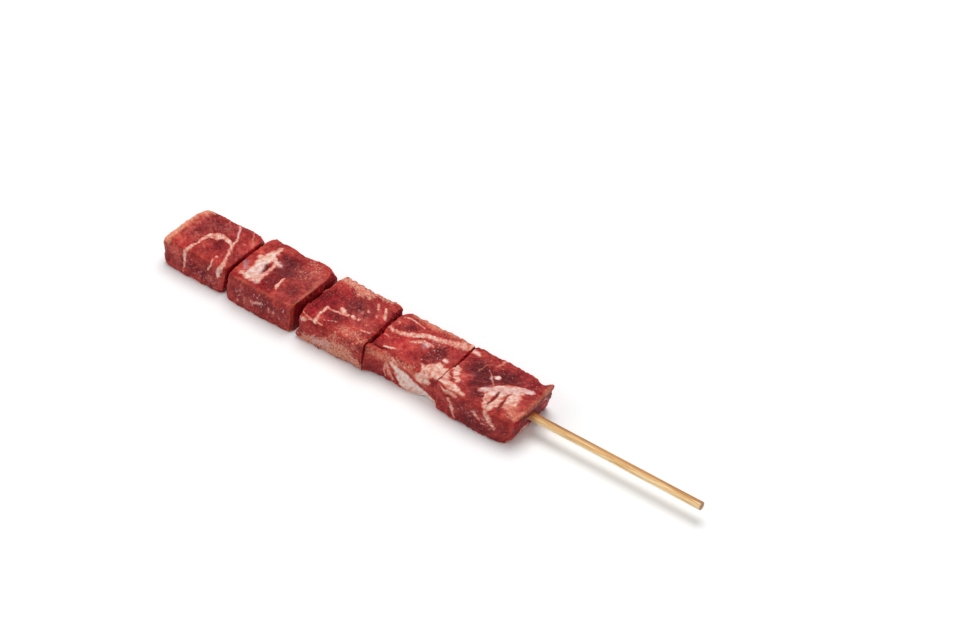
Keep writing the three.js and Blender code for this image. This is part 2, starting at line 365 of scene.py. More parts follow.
CHUNK_4 = dict(
    grain=(0.35, -0.50, 0.79),
    fray=0.35,
    fat=[
        (.8, [(-19.5, 2.9, .6), (-16, .9, .7), (-13.5, .3, .9), (-11, .8, 1.1), (-8, 1.6, 1.2),
              (-5, 3.1, 1.5), (-2, 5.2, 1.5), (.5, 7, 1.4), (4, 8, 1.5), (7.5, 8.6, 1.3)]),
        (.65, [(6, 8.4, 1.3), (11, 9.4, 1.6), (14, 10.3, 2), (17, 12, 2.4), (20, 14, 2.2)]),
        (.75, [(-4, -1.5, .5), (-1, .6, .9), (1.5, 2.3, 1.2), (3.5, 2, 1.6), (5.5, 2.5, .7)]),
        (.6, [(-17, 7.3, .4), (-15.3, 6, .6)]), (.6, [(-19.5, -2, .4), (-17, -3.5, .45), (-14, -4.5, .35)]),
        (.5, [(-10, -2.5, .5)]), (.65, [(-16, 10, .4), (-12.5, 11, .5), (-8, 10.6, .5), (-4, 10, .5)]),
        (.9, [(-12.5, -10.5, .5), (-9.5, -9.8, .6), (-7.5, -9.2, .4)]), (1.4, [(16, -1.3, .95)]),
        (1.0, [(15.5, -5.5, 1.6), (15, -8.5, 3), (14, -11.5, 3.6)]),
        (1.0, [(18.5, -8, 2.4), (20.5, -10, 2.4), (19.5, -13, 2)]),
        (.8, [(9.5, -10, .8), (11, -11.5, 1.2)]), (.6, [(7, -7.5, .5)]),
        (1.0, [(13, -15.5, 3), (11, -18, 2.4)]), (.9, [(14.5, -17.5, 2)]),
        (1.3, [(-5, -18.5, 1), (-2.5, -20.5, 1.6), (1, -22, 2.4), (5, -24.5, 3.2), (10, -27, 3.4),
               (15, -29.5, 2.6), (19, -31.5, 1.8)]),
        (1.2, [(-1.5, -23.5, 1.6), (1, -27, 2.2), (5, -29.5, 2.8), (9, -31, 2.6)]),
        (.8, [(-5, -15.5, 1), (-2.5, -17, 1)]), (.8, [(2, -16.8, .7)]), (.7, [(4, -15.3, .6)]),
        (.7, [(-8.5, -20.5, .8), (-9.5, -25, .6), (-9.3, -29, .4)]),
        (.75, [(-8, -20, .9), (-6.3, -24, .7), (-5, -28.5, .5)]),
        (.5, [(-7.5, -24.3, .5), (-7, -27.3, .5)]),
    ],
    veil=[(.7, [(3, 1, 1.4)]), (.6, [(16.3, -1.3, .9)]), (.3, [(0, -23, 2.5), (8, -25, 3), (14, -28, 2)])],
    frost=[(.4, [(8, 2, 4), (13, -4, 3)])],
    groove_shade=[
        (1.0, [(-19.5, -10.5, .25), (-18.5, -11.8, .35), (-16, -12.2, .35), (-13, -12.5, .45),
               (-11, -11.3, .5), (-9.8, -11.2, .3)]),
    ],
    rim=[
        (.45, [(-16, -18, 1.4), (-8, -17.2, 1.3), (0, -17.2, 1.1), (8, -17.5, 1.2), (14, -21, 1)]),
        (.5, [(-12, 14.5, 1), (2, 15.5, 1.2), (14, 15.5, 1.2)]),
    ],
    tones=[
        (-9, 6, 5, -.35), (11, 1, 5, -.6), (8, -5, 4, -.35), (-6, -4, 7, .5), (0, 14, 8, .35),
        (-17, -6, 4, -.15), (-14, -26, 5, -.35), (-3, -26, 2, -.4), (15, 5, 4, .2), (-12, -18.5, 5, .6),
        (4, -17, 3, .6), (2, -13, 4, .2),
    ],
    crimson=[
        (2, -17.5, 4, .5), (-12, -19, 4, .4), (-6, -4, 7, .95), (-17, -6, 5, .8), (-9, 6, 5, .4),
        (14, -20, 2.5, .8), (2, -10, 4, .6), (15, 5, 4, .5),
    ],
    pushes=[
        (-19, 15, 3, (.4, -1.6, 0)), (-18, -27, 6, (0, -1.3, 0)), (13, -32, 6, (0, 1.5, .5)),
        (19, 15, 3, (.3, .2, 0)),
    ],
    brown=[(11, 1, 5, .6), (-9, 6, 4, .4), (7, -5, 4, .4), (-14, -26, 6, .3)],
    pale=[
        (.75, [(11, 10, 1.2), (15, 11, 2), (19, 13, 2.2)]),
        (.5, [(-12, 15, 1.5), (0, 15, 2), (10, 14.5, 1.5)]),
        (.5, [(-10, -15.5, 1.5), (-2, -15, 1.6), (5, -14, 1.5)]), (.45, [(-16, -17.5, 2), (-9, -18, 2)]),
        (.4, [(2, 6, 1), (8, 6, 1)]),
    ],
    ragged=1.25,
    presses=[(-1, -20, -12, 1.2, .9, 1.3), (1, -20, -2, 1.2, 1, .4), (1, -2, 20, .8, .5, 0)],
    crisp=0.05,
    glow=0.3,
)
CHUNK_5 = dict(
    grain=(0.75, 0.38, 0.54),
    fray=0.8,
    fat=[
        (1.0, [(-22.5, -5, 1.2), (-21.5, -8.5, 2.4), (-20.5, -12, 2.6)]),
        (1.0, [(-19.5, -11, 1.6), (-16.5, -12.3, 2), (-13.5, -12.8, 2), (-10.5, -13.3, 1.4),
               (-7.5, -13.8, .6)]),
        (.9, [(-17, -17, 1.2), (-12, -16.8, 1.2)]),
        (.85, [(-22.5, 2, 1.1), (-20, -1.7, 1.5), (-17, -5.6, 1.4), (-15, -8.6, 1)]),
        (.7, [(-21, 14, .6), (-18.5, 12.5, .8), (-16.5, 11.5, .8)]),
        (1.0, [(-3, -6.5, .8), (0, -4, 1.2), (2.5, -1.5, 1.7), (6, 1, 1.9), (10, 3, 1.8), (14, 4.5, 1.4),
               (17.5, 5.7, .8)]),
        (1.0, [(2.5, -3, 1.6), (2.3, -7, 1.5), (3.2, -11, 1.2), (4, -14.5, 1)]),
        (1.0, [(7.3, -1, 1.6), (7.3, -6, 1.7), (7, -10, 1.6), (6, -14, 1.3)]),
        (.9, [(12, 1, 2.4), (13, -2, 3), (12.8, -5.5, 2.6), (12.3, -8.5, 1.6)]), (.8, [(-.5, -6.5, .8)]),
        (.9, [(5.5, -16.5, 1.2), (7, -19.5, 1.8), (9.5, -22.5, 1.5), (11, -24.5, .9)]),
        (1.4, [(-.8, 4.7, 1)]), (.7, [(-2.7, 4.3, .4)]),
        (.38, [(-11, 3, .25), (-10.7, 6, .3), (-10, 8.5, .4), (-8.5, 10, .5), (-5.5, 10.4, .35),
               (-2.5, 10.5, .25)]),
        (.45, [(-5, 16.5, .8), (-4.5, 13.5, .7), (-5.5, 11, .5)]),
        (.5, [(-7, 6.5, .25), (-5, 4.5, .35), (-3.5, 2.5, .7), (-1.5, .8, .45), (0, -.5, .4)]),
        (.8, [(0, -20.5, .9), (1, -22.5, .9), (3, -24, .45)]),
        (.7, [(-14.5, -21, .9), (-13, -25, .9), (-11.5, -29, .6), (-10.5, -31, .3)]),
        (.5, [(-8.5, -24, .35)]),
    ],
    veil=[
        (.45, [(0, -4, 1.8), (4, -2, 2), (9, 1, 1.8), (14, 4, 1.2)]), (1.0, [(17, 5.8, .7), (13, 5.4, .5)]),
        (1.0, [(-3.5, 2.5, .7)]), (.9, [(-2.5, -6.3, 1), (0, -3.6, 1)]), (.7, [(0, -20.5, .8)]),
        (.6, [(-12.5, -26, .7)]),
    ],
    frost=[(.45, [(-4, -19, 3), (4, -25, 5)])],
    groove_shade=[
        (.75, [(4.9, -2.5, .4), (5.2, -7, .7), (4.9, -11.5, .5)]),
        (.6, [(9.6, -3, .35), (10, -7, .6), (11, -12, .6)]),
    ],
    rim=[
        (.4, [(15, -7, 2), (17, -10, 2)]), (.9, [(22, 16, 1.2), (22.3, 5, 1), (22, -4, 1), (19, -13, .8)]),
    ],
    tones=[
        (-13, 5, 7, -.65), (-6, 0, 7, -.6), (3, 8, 8, -.65), (-3, -9, 5, -.55), (16, 11, 6, -.2),
        (-14, -4, 3, .7), (-19, 3, 3, .2), (17, -9, 4, .5), (-1, -29, 9, -.42), (12, -29, 7, -.25),
        (8, -15, 4, .2), (-18, 13, 3, .2),
    ],
    crimson=[(18, 9, 5, .8), (-14, -5, 4, .8), (10, 12, 7, .55), (-3, -9, 4, .5), (-18, 9, 3, .5)],
    pushes=[
        (17.5, 18, 4, (0, -3.2, 0)), (21, 16.2, 2.6, (.9, 1.9, 1.6)), (-20, 15, 4, (0, .6, .2)),
        (21, -28, 5, (-.6, .4, 0)), (-20, -28, 5, (0, 1.2, 0)),
    ],
    brown=[
        (-12, 4, 8, .95), (-5, 0, 8, 1), (3, 6, 7, .9), (10, 10, 6, .6), (-5, -9, 5, .5), (-3, -27, 10, .7),
        (12, -27, 8, .5),
    ],
    pale=[(.5, [(14, -9, 1.5), (17, -11, 2)]), (.4, [(-19, -3, 1.5), (-15, -8, 1.5)])],
    ragged=1.0,
    presses=[(-1, -20, -2, 1.2, 1, .2), (-1, -2, 20, .8, .5, 0)],
    crisp=0.15,
    glow=0.35,
)
CHUNKS = {
    "chunk_1": CHUNK_1,
    "chunk_2": CHUNK_2,
    "chunk_3": CHUNK_3,
    "chunk_4": CHUNK_4,
    "chunk_5": CHUNK_5,
}

VOXEL = 0.3  # size of the remesh's cells
SMOOTHING_PASSES = 24  # rounds off the CAD's facets
SMOOTHING = 0.5  # how far each pass goes
EDGE_DROP = 0.4  # how far below the highest point s starts to be counted down a side
TURN_WIDTH = 8.0  # distance from the middle over which s turns from the near side to the far side
END_FACING = (0.55, 0.85)  # how squarely a point faces along the stick, where an end sets in
HIDDEN_FACING = (0.3, 0.8)  # the same, for the far side and the underside
EDGE_TURN = 0.29  # what the largest part of a normal is short of 1 by, half way round an edge
STICK_GRIP = 0.04  # gap between the stick and the meat that closes round it
GRIP_LIFT = 0.65  # how far an end that faces a neighbour swells out round the stick
OUTER_DIMPLE = 1.6  # depth of the dimple round the stick, for the chunks that have a free end
INNER_DIMPLE = 0.3  # the same, for the chunks that have no free end
SEAM = 0.06  # gap between two chunks that are pressed together
HALF_WIDTH = 15.0  # a chunk's, about: beyond it s is counted down a side
OUTER_SIDE = {"chunk_1": -1, "chunk_5": 1}  # which way the free end of each outer chunk faces

stick_low, stick_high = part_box("stick")
STICK_RADIUS = (stick_high.z - stick_low.z) / 2 / M_PER_MM
STICK_START = stick_low.x / M_PER_MM
STICK_END = stick_high.x / M_PER_MM
STICK_Y = (stick_low.y + stick_high.y) / 2 / M_PER_MM
STICK_Z = (stick_low.z + stick_high.z) / 2 / M_PER_MM
POINT_LENGTH = 14.0
POINT_RADIUS = 0.3
POINT_FULLNESS = 0.62  # how much of the full thickness is reached half way along the point

# Layers of noise, each (height, wavelength, seed).
BORDER_SHAKE = [(0.6, 1.9, 1), (0.3, 0.9, 2)]  # how the borders of marks wander
BORDER_TEETH = [(1.1, 1.7, 4), (0.3, 0.8, 5)]  # how they are drawn out along the fibres
LUMPS = [(0.32, 9, 40), (0.2, 4.2, 41)]
STRANDS = [(0.09, 1.5, 42), (0.05, 0.85, 43)]
RAGGED_EDGES = [(0.5, 4.5, 45), (0.42, 2.1, 46), (0.14, 1.1, 48)]
STICK_RIDGES = [(0.05, 1.6, 3), (0.025, 0.7, 4)]


def stick_radius_at(x):
    """The stick's radius along its length: a taper at the pointed end, and then constant."""
    along = (x - STICK_START) / POINT_LENGTH
    shoulder = POINT_RADIUS + (STICK_RADIUS - POINT_RADIUS) * POINT_FULLNESS
    return np.interp(along, [0, 0.5, 1], [POINT_RADIUS, shoulder, STICK_RADIUS])


# ---- Chunk meshes ------------------------------------------------------------------------------


def fine_copy(node):
    """A finely and evenly remeshed copy of a CAD node, in millimetres."""
    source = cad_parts[node]
    mesh = source.data.copy()
    mesh.materials.clear()
    mesh.transform(source.matrix_world)
    mesh.transform(Matrix.Scale(1 / M_PER_MM, 4))
    rough = add_object(node + "_rough", mesh)
    remesh = rough.modifiers.new("remesh", "REMESH")
    remesh.mode = "VOXEL"
    remesh.voxel_size = VOXEL
    relax = rough.modifiers.new("relax", "SMOOTH")
    relax.iterations = SMOOTHING_PASSES
    relax.factor = SMOOTHING
    graph = bpy.context.evaluated_depsgraph_get()
    fine = bpy.data.meshes.new_from_object(rough.evaluated_get(graph))
    bpy.data.objects.remove(rough)
    fine.name = node
    return fine


def read(mesh, what):
    """The mesh's vertex positions or normals as an array."""
    data = np.zeros(len(mesh.vertices) * 3, np.float32)
    if what == "normal":
        mesh.vertex_normals.foreach_get("vector", data)
    else:
        mesh.vertices.foreach_get("co", data)
    return data.reshape(-1, 3).astype(float)


def write_points(mesh, points):
    """Moves the mesh's vertices to these positions."""
    mesh.vertices.foreach_set("co", points.astype(np.float32).ravel())
    mesh.update()


def store(mesh, name, values):
    """Keeps one number, or one vector, for each vertex, where the material can read it."""
    kind = "FLOAT" if values.ndim == 1 else "FLOAT_VECTOR"
    field = "value" if values.ndim == 1 else "vector"
    layer = mesh.attributes.new(name, kind, "POINT")
    layer.data.foreach_set(field, values.astype(np.float32).ravel())


def chain_depth(x, s, chain):
    """How deep each point lies inside a chain of discs; negative outside it."""
    if len(chain) == 1:
        cx, cs, radius = chain[0]
        return radius - np.hypot(x - cx, s - cs)
    depth = np.full(len(x), -1e9)
    for (ax, a_s, ar), (bx, bs, br) in zip(chain, chain[1:]):
        dx, ds = bx - ax, bs - a_s
        t = np.clip(((x - ax) * dx + (s - a_s) * ds) / (dx * dx + ds * ds), 0, 1)
        gap = np.hypot(x - ax - t * dx, s - a_s - t * ds)
        depth = np.maximum(depth, ar + t * (br - ar) - gap)
    return depth


class Skin:
    """A chunk's points, with the charts that marks are placed by and the sides that points are on.

    end is 1 on both ends, free_end on an outer chunk's free end, hidden on the free end, the far
    side and the underside, and edge along the edges. shown is how strongly marks show: faintly on
    an end that faces a neighbour, and only just over the edge of a free end.
    """

    def __init__(self, mesh, node, seed, spec):
        low, high = (corner / M_PER_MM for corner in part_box(node))
        self.seed = seed
        self.points = read(mesh, "co")
        self.normals = read(mesh, "normal")
        self.height = high.z
        self.x = self.points[:, 0] - (low.x + high.x) / 2
        y = self.points[:, 1]
        self.down = np.maximum(self.height - EDGE_DROP - self.points[:, 2], 0)
        self.s = y + self.down * np.clip(y / TURN_WIDTH, -1, 1)
        nx, ny, nz = self.normals.T
        self.end = smooth(*END_FACING, np.abs(nx))
        self.free_end = smooth(*END_FACING, nx * OUTER_SIDE.get(node, 0))
        over_the_edge = smooth(3.4, 0.8, self.down + 1.1 * noise(self.points, 2.4, seed + 8))
        self.shown = (1 - self.free_end) * (1 - 0.85 * self.end) + self.free_end * over_the_edge
        self.dimple_depth = OUTER_DIMPLE if node in OUTER_SIDE else INNER_DIMPLE
        under = smooth(*HIDDEN_FACING, -nz)
        self.hidden = np.maximum.reduce([self.free_end, under, smooth(*HIDDEN_FACING, ny)])
        self.edge = np.clip((1 - np.abs(self.normals).max(axis=1)) / EDGE_TURN, 0, 1)
        self.from_stick = np.hypot(y - STICK_Y, self.points[:, 2] - STICK_Z)
        self.in_hole = smooth(STICK_RADIUS + 1.2, STICK_RADIUS + 0.5, self.from_stick)
        grain = spec["grain"]
        self.fray = spec["fray"]
        self.grain = np.array(grain) / np.linalg.norm(grain[:2])
        self.fibre = fibre_coordinates(self.points, grain, seed)

    def band(self, marks, feather=1.0):
        """How far marks cover each point; their borders fray along the fibres and fade softly."""
        shake = layered(self.points, BORDER_SHAKE, self.seed)
        tooth = layered(self.fibre, BORDER_TEETH, self.seed)
        warp = 0.5 * noise(self.points, 3.5, self.seed + 3)
        total = np.zeros(len(self.points))
        for amount, chain in marks:
            width = sum(radius for _, _, radius in chain) / len(chain)
            fray = feather * self.fray * min(1.1, 0.12 + 0.45 * width)
            x = self.x + warp + fray * tooth * self.grain[0]
            s = self.s + 0.6 * warp + fray * tooth * self.grain[1]
            depth = chain_depth(x, s, chain) + shake * min(0.6, 0.45 * width)
            soft = feather * min(1.3, 0.35 + 0.6 * width)
            total = np.maximum(total, amount * smooth(-soft, 0.8 * soft, depth))
        return total * self.shown

    def blotches(self, patches):
        """The sum of a list of soft round patches."""
        total = np.zeros(len(self.points))
        for cx, cs, radius, amount in patches:
            squared = (self.x - cx) ** 2 + (self.s - cs) ** 2
            total += amount * np.exp(-squared / (0.6 * radius**2))
        return total


def fibre_coordinates(points, grain, seed):
    """Coordinates for fine muscle texture: drawn out along the fibres, and gently wandering."""
    along = np.array(grain) / np.linalg.norm(grain)
    side = np.cross(along, (0, 0, 1))
    side /= np.linalg.norm(side)
    third = np.cross(along, side)
    wander = np.stack([noise(points, 7, seed + 20 + k) for k in range(3)], axis=1)
    bent = points + 1.2 * wander
    return np.stack([bent @ along / 3.2, bent @ side, bent @ third], axis=1)


def hidden_marbling(skin):
    """Veins of fat through the sides that face away, as irregular sheets cut by the surface."""
    sheet = 1 - np.abs(fractal(skin.points, 12, skin.seed + 30, octaves=3)) * 6.5
    present = smooth(0.0, 0.4, noise(skin.points, 8, skin.seed + 31))
    frayed = skin.points + 0.9 * noise(skin.fibre, 0.9, skin.seed + 33)[:, None] * skin.grain
    pad = smooth(0.38, 0.62, noise(frayed, 11, skin.seed + 32))
    return np.maximum(0.75 * smooth(0.25, 0.95, sheet) * present, 0.8 * pad) * skin.hidden


def press(skin, presses, node):
    """Brings the ends out where they are pressed against a neighbour, or swell round the stick.

    A press is (side, from y, to y, amount, fill, corner). The end that faces that side is moved out
    by the amount between the two values of y. The fill brings its rounded top edge level, so that
    two chunks run into one another, and the corner value squares off its upright near edge.
    """
    y = skin.points[:, 1]
    for side, y_from, y_to, amount, fill, square in presses:
        facing = smooth(0.1, 0.5, side * skin.normals[:, 0])
        place = smooth(y_from - 1.5, y_from + 1.5, y) * (1 - smooth(y_to - 1.5, y_to + 1.5, y))
        z = skin.points[:, 2]
        below_top = np.maximum(smooth(skin.height + 0.3, skin.height - 1.2, z), fill)
        skin.points[:, 0] += side * amount * facing * place * below_top
        corner = facing * smooth(0.05, 0.45, -skin.normals[:, 1])
        skin.points[:, 0] += side * 0.7 * square * corner * place
        skin.points[:, 1] -= square * corner * place
        sunk = np.clip(skin.height - 0.3 - z, 0, 3) * smooth(skin.height - 4.5, skin.height - 2, z)
        skin.points[:, 2] += fill * facing * place * sunk
    for side in (-1, 1):
        if OUTER_SIDE.get(node, 0) == side:
            continue
        facing = smooth(0.5, 0.9, side * skin.normals[:, 0])
        near_stick = smooth(7.0, 4.0, skin.from_stick)
        skin.points[:, 0] += side * GRIP_LIFT * facing * near_stick


def move_regions(skin, pushes):
    """The large irregularities of the outline; on a free end, a push fades out down the end."""
    for cx, cs, radius, shift in pushes:
        depth = max(abs(cs) - HALF_WIDTH, 0)
        below = skin.free_end * (skin.down - depth)
        distance = np.sqrt((skin.x - cx) ** 2 + (skin.s - cs) ** 2 + below**2)
        weight = np.exp(-(distance**2) / (0.7 * radius**2))
        skin.points += weight[:, None] * np.array(shift)


def relief(skin, fat, groove_shade, raggedness, crispness):
    """How far each point stands out from the smooth block."""
    points, seed = skin.points, skin.seed
    lean = 1 - fat
    lumps = layered(points, LUMPS, seed)
    strands = layered(skin.fibre, STRANDS, seed)
    pits = -0.16 * smooth(0.35, 0.75, noise(points, 1.8, seed + 44))
    ragged = layered(points, RAGGED_EDGES, seed)
    fat_swell = 0.12 * smooth(0.2, 1.0, fat) + 0.05 * noise(points, 1.6, seed + 47) * fat
    crisp = crispness * skin.edge**2
    height = lumps + strands * (0.35 + 0.65 * lean) + pits * lean + skin.edge * ragged * raggedness
    height += fat_swell + crisp - 0.95 * groove_shade
    return height


def close_round_stick(skin):
    """Draws the meat in until it grips the stick, with a slight dimple where the stick comes out."""
    y = skin.points[:, 1] - STICK_Y
    z = skin.points[:, 2] - STICK_Z
    across = np.hypot(y, z)
    grip = stick_radius_at(skin.points[:, 0]) + STICK_GRIP
    slack = np.maximum(across.min() - grip, 0)
    pull = slack * smooth(STICK_RADIUS + 2.6, STICK_RADIUS + 0.45, across)
    factor = (across - pull) / across
    skin.points[:, 1] = STICK_Y + y * factor
    skin.points[:, 2] = STICK_Z + z * factor
    dimple = np.exp(-((across / 3.8) ** 2)) * skin.end
    skin.points[:, 0] -= skin.dimple_depth * dimple * np.sign(skin.x)


def end_plane(mesh, side):
    """The plane x = a + b y + c z that fits one end of a chunk, as (a, b, c)."""
    points = read(mesh, "co")[side * read(mesh, "normal")[:, 0] > 0.9]
    columns = np.column_stack([np.ones(len(points)), points[:, 1:]])
    return np.linalg.lstsq(columns, points[:, 0], rcond=None)[0]


def meeting_planes(meshes):
    """For each chunk, the planes half way to its neighbours: {node: [(side, plane)]}."""
    planes = {node: [] for node in meshes}
    names = list(meshes)
    for left, right in zip(names, names[1:]):
        middle = (end_plane(meshes[left], 1) + end_plane(meshes[right], -1)) / 2
        planes[left].append((1, middle))
        planes[right].append((-1, middle))
    return planes


def keep_apart(skin, planes):
    """Flattens an end where it would pass the plane half way to its neighbour."""
    for side, (a, b, c) in planes:
        x, y, z = skin.points.T
        limit = side * (a + b * y + c * z) - SEAM / 2
        skin.points[:, 0] = side * np.minimum(side * x, limit)


def mark_fields(skin, spec):
    """The marks on a chunk, as one number for each point, and the coordinates along its fibres."""
    seed = skin.seed
    patch = noise(skin.points, 8, seed + 52)
    stick_shadow = 0.75 * smooth(4.6, 2.6, skin.from_stick) * skin.end
    tone = skin.blotches(spec["tones"])
    tone += (0.2 + 0.3 * skin.hidden) * noise(skin.points, 6, seed + 50)
    # Painted shade: the ends are made darker, as they lie in the gaps between the chunks or face away from
    # the light.
    tone -= 0.3 * skin.end
    crimson = skin.blotches(spec["crimson"]) + 0.25 * noise(skin.points, 6, seed + 51)
    crimson += skin.hidden * smooth(0.0, 0.5, patch) + skin.end
    brown = skin.blotches(spec["brown"]) + 0.8 * skin.hidden * smooth(0.0, 0.5, -patch)
    glow_here = smooth(-0.25, 0.4, noise(skin.points, 7, seed + 53))
    return {
        "fat": np.maximum(skin.band(spec["fat"]), hidden_marbling(skin)),
        "pale": skin.band(spec["pale"], feather=2.4),
        "veil": skin.band(spec["veil"], feather=1.3),
        # painted shade in the grooves and pits, with the painted shadow round the stick on the ends
        "groove_shade": np.maximum(skin.band(spec["groove_shade"], feather=0.7), stick_shadow),
        # painted highlight: a salmon band along the lit edges
        "rim": skin.band(spec["rim"], feather=1.6),
        "tone": tone,
        "frost": skin.band(spec["frost"], feather=3),
        "crimson": np.clip(crimson, 0, 1),
        "brown": np.clip(brown, 0, 1),
        # painted glow: how orange the edges turn where light would shine through them
        "edge": spec["glow"] * smooth(0.35, 0.95, skin.edge) * glow_here,
        "fibre": skin.fibre,
    }


def shape_chunk(node, skin, spec, fields, planes):
    """Moves the points of a smooth block to where a cut piece of beef has them."""
    groove = fields["groove_shade"] * (1 - skin.end)
    height = relief(skin, fields["fat"], groove, spec["ragged"], spec["crisp"])
    height *= 1 - skin.in_hole
    move_regions(skin, spec["pushes"])
    press(skin, spec["presses"], node)
    skin.points += skin.normals * height[:, None]
    close_round_stick(skin)
    keep_apart(skin, planes)
    skin.points[:, 2] = np.maximum(skin.points[:, 2], 0)


def make_chunk(node, spec, seed, mesh, planes):
    """The visible piece of one chunk, made from the fine copy of its solid."""
    skin = Skin(mesh, node, seed, spec)
    fields = mark_fields(skin, spec)
    shape_chunk(node, skin, spec, fields, planes)
    for name, values in fields.items():
        store(mesh, name, values)
    write_points(mesh, skin.points * M_PER_MM)
    mesh.shade_smooth()
    piece = add_object(node + "_meat", mesh)
    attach(piece, "root")
    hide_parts(node)
    return piece


# ---- Stick mesh --------------------------------------------------------------------------------

STICK_SIDES = 40
STICK_STEP = 1.0  # along its length
SAWN_BEVEL = (0.2, 0.25)  # along the length and inwards, at the blunt end


def stick_points():
    """The rings of points from the pointed end on, and then the middles of the two ends."""
    steps = int((STICK_END - STICK_START) / STICK_STEP)
    x = np.linspace(STICK_START, STICK_END, steps + 1)
    x = np.concatenate([x, [STICK_END]])
    radius = stick_radius_at(x)
    radius[-2] = STICK_RADIUS
    radius[-1] = STICK_RADIUS - SAWN_BEVEL[1]
    x[-2] = STICK_END - SAWN_BEVEL[0]
    angle = np.linspace(0, 2 * np.pi, STICK_SIDES, endpoint=False)
    along, around = np.meshgrid(x, angle, indexing="ij")
    rings = radius[:, None] * np.ones(STICK_SIDES)
    probe = np.stack([along / 26, np.cos(around) * 2.1, np.sin(around) * 2.1], axis=-1)
    probe = probe.reshape(-1, 3)
    ridge = layered(probe, STICK_RIDGES).reshape(along.shape)
    rings = rings + (ridge - 0.05) * np.minimum(1, rings / STICK_RADIUS)
    y = STICK_Y + rings * np.cos(around)
    z = STICK_Z + rings * np.sin(around)
    points = np.stack([along, y, z], axis=-1).reshape(-1, 3)
    ends = np.array([[STICK_START, STICK_Y, STICK_Z], [STICK_END, STICK_Y, STICK_Z]])
    return np.concatenate([points, ends])


def stick_faces(last, tip, butt):
    """Faces between the rings and round both middles; last is the last ring's first point."""
    faces = []
    for ring in range(0, last, STICK_SIDES):
        for side in range(STICK_SIDES):
            after = (side + 1) % STICK_SIDES
            a, b = ring + side, ring + after
            faces.append((a, b, b + STICK_SIDES, a + STICK_SIDES))
    for side in range(STICK_SIDES):
        after = (side + 1) % STICK_SIDES
        faces.append((tip, after, side))
        faces.append((butt, last + side, last + after))
    return faces


def store_stick_marks(mesh, points, last, tip, butt):
    """Where the stick is sawn, soaked by the meat, dark with bark, or painted paler on its near and lower
    side, as painted light for the light thrown up from below.

    The last two go by the turn, which is the angle in radians from the far side over the top.
    """
    sawn = np.zeros(len(points))
    sawn[last:tip] = 1
    sawn[butt] = 1
    store(mesh, "sawn", sawn)
    meat_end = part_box("chunk_5")[1].x / M_PER_MM
    store(mesh, "soaked", smooth(meat_end + 5, meat_end - 1, points[:, 0]))
    turn = np.arctan2(points[:, 2] - STICK_Z, points[:, 1] - STICK_Y)
    turn = np.mod(turn + 0.25 * noise(points * np.array([0.05, 0, 0]), 1.0, 5), 2 * np.pi)
    store(mesh, "bark", np.where(turn < 3.8, smooth(2.6, 1.0, turn), smooth(5.0, 6.1, turn)))
    # painted light: paler on the near and lower side, for light thrown up from below
    store(mesh, "lit_underside", smooth(2.7, 3.5, turn) * smooth(5.2, 4.6, turn))


def make_stick():
    """A round bamboo stick with fibre ridges, a sharpened point and a sawn end."""
    points = stick_points()
    tip = len(points) - 2
    butt = len(points) - 1
    last = tip - STICK_SIDES
    mesh = bpy.data.meshes.new("stick_bamboo")
    mesh.from_pydata((points * M_PER_MM).tolist(), [], stick_faces(last, tip, butt))
    mesh.shade_smooth()
    store_stick_marks(mesh, points, last, tip, butt)
    piece = add_object("stick_bamboo", mesh)
    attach(piece, "root")
    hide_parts("stick")
    return piece


# ---- Node helpers ------------------------------------------------------------------------------


